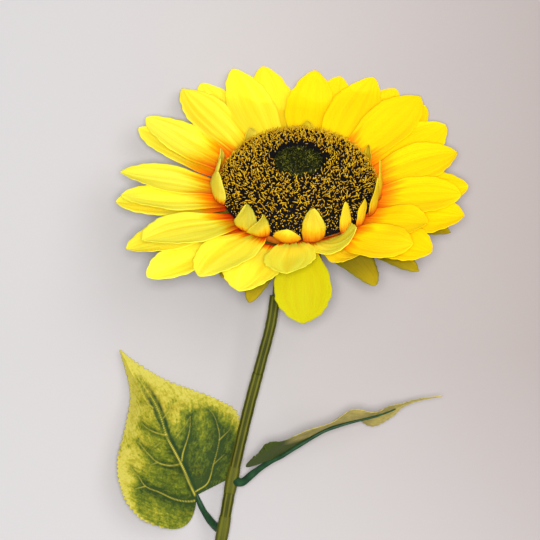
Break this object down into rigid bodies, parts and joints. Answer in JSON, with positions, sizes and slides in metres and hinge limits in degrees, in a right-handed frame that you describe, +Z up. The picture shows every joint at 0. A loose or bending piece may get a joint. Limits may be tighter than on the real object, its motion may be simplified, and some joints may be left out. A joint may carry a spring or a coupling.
{
  "type": "cut sunflower",
  "caption": "Artificial-looking sunflower lying down: tilted head of yellow petals round a dark seed disc, ribbed green stem, heart-shaped leaves.",
  "frame": {"origin": "middle of the flower's box, on the surface it lies on", "axes": "+Z up from the surface; the stem runs towards -Y; the head is at +Y and faces up and towards +Y"},
  "size_m": [0.1746, 0.4968, 0.1159],
  "materials": {
    "ray_petal": "matt printed cloth, orange at the foot",
    "petalet": "matt printed cloth, greenish yellow",
    "seed_disc": "near black with short yellow tufts",
    "disc_button": "dark green flock",
    "receptacle": "matt",
    "calyx": "matt printed cloth, olive yellow",
    "stem": "ribbed, satin",
    "leaf": "matt printed cloth with yellow veins",
    "leaf_rib": "satin dark green"
  },
  "bodies": {
    "root": {"ray_inner_01": "ray_petal", "ray_inner_02": "ray_petal", "ray_inner_03": "ray_petal", "ray_inner_04": "ray_petal", "ray_inner_05": "ray_petal", "ray_inner_06": "ray_petal", "ray_inner_07": "ray_petal", "ray_inner_08": "ray_petal", "ray_inner_09": "ray_petal", "ray_inner_10": "ray_petal", "ray_inner_11": "ray_petal", "ray_inner_12": "ray_petal", "ray_inner_13": "ray_petal", "ray_inner_14": "ray_petal", "ray_inner_15": "ray_petal", "ray_inner_16": "ray_petal", "ray_outer_01": "ray_petal", "ray_outer_02": "ray_petal", "ray_outer_03": "ray_petal", "ray_outer_04": "ray_petal", "ray_outer_05": "ray_petal", "ray_outer_06": "ray_petal", "ray_outer_07": "ray_petal", "ray_outer_08": "ray_petal", "ray_outer_09": "ray_petal", "ray_outer_10": "ray_petal", "ray_outer_11": "ray_petal", "ray_outer_12": "ray_petal", "ray_outer_13": "ray_petal", "ray_outer_14": "ray_petal", "ray_outer_15": "ray_petal", "ray_outer_16": "ray_petal", "petalet_01": "petalet", "petalet_02": "petalet", "petalet_03": "petalet", "petalet_04": "petalet", "petalet_05": "petalet", "petalet_06": "petalet", "petalet_07": "petalet", "petalet_08": "petalet", "petalet_09": "petalet", "petalet_10": "petalet", "petalet_11": "petalet", "petalet_12": "petalet", "petalet_13": "petalet", "petalet_14": "petalet", "seed_disc": "seed_disc", "disc_button": "disc_button", "receptacle": "receptacle", "calyx_upper": "calyx", "calyx_lower": "calyx", "stem_neck": "stem", "stem_upper": "stem", "stem_lower": "stem", "leaf_left_blade": "leaf", "leaf_right_blade": "leaf", "leaf_left_rib": "leaf_rib", "leaf_right_rib": "leaf_rib"}
  },
  "joints": []
}
